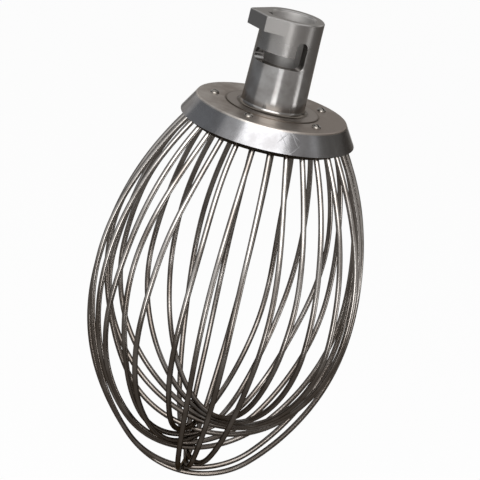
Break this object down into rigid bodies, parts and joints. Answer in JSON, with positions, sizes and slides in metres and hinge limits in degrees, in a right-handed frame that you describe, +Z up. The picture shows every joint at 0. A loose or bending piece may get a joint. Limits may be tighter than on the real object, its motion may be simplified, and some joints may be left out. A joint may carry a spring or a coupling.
{
  "type": "stand mixer wire whisk",
  "caption": "Balloon whisk for a planetary mixer: bayonet drive hub, round clamped wire head and a nest of crossing bent wire loops.",
  "frame": {"origin": "centre of the drive bore in the plane of the hub's top face", "axes": "+Z up along the drive axis, out of the bore's mouth; +X to the right and +Y away in the picture's view"},
  "size_m": [0.1978, 0.1968, 0.3628],
  "materials": {
    "hub": "turned and worn, satin with bright edges",
    "head": "turned, dull flat top and polished skirt",
    "plate": "turned, dull",
    "screws": "bright domed heads",
    "wire": "drawn bright wire with brown staining"
  },
  "bodies": {
    "root": {"drive_hub": "hub", "head_cap": "head", "wire_plate": "plate", "clamp_screws": "screws", "whisk_loop_01": "wire", "whisk_loop_02": "wire", "whisk_loop_03": "wire", "whisk_loop_04": "wire", "whisk_loop_05": "wire", "whisk_loop_06": "wire", "whisk_loop_07": "wire", "whisk_loop_08": "wire", "whisk_loop_09": "wire", "whisk_loop_10": "wire", "whisk_loop_11": "wire", "whisk_loop_12": "wire", "whisk_loop_13": "wire", "whisk_loop_14": "wire", "whisk_loop_15": "wire"}
  },
  "joints": []
}
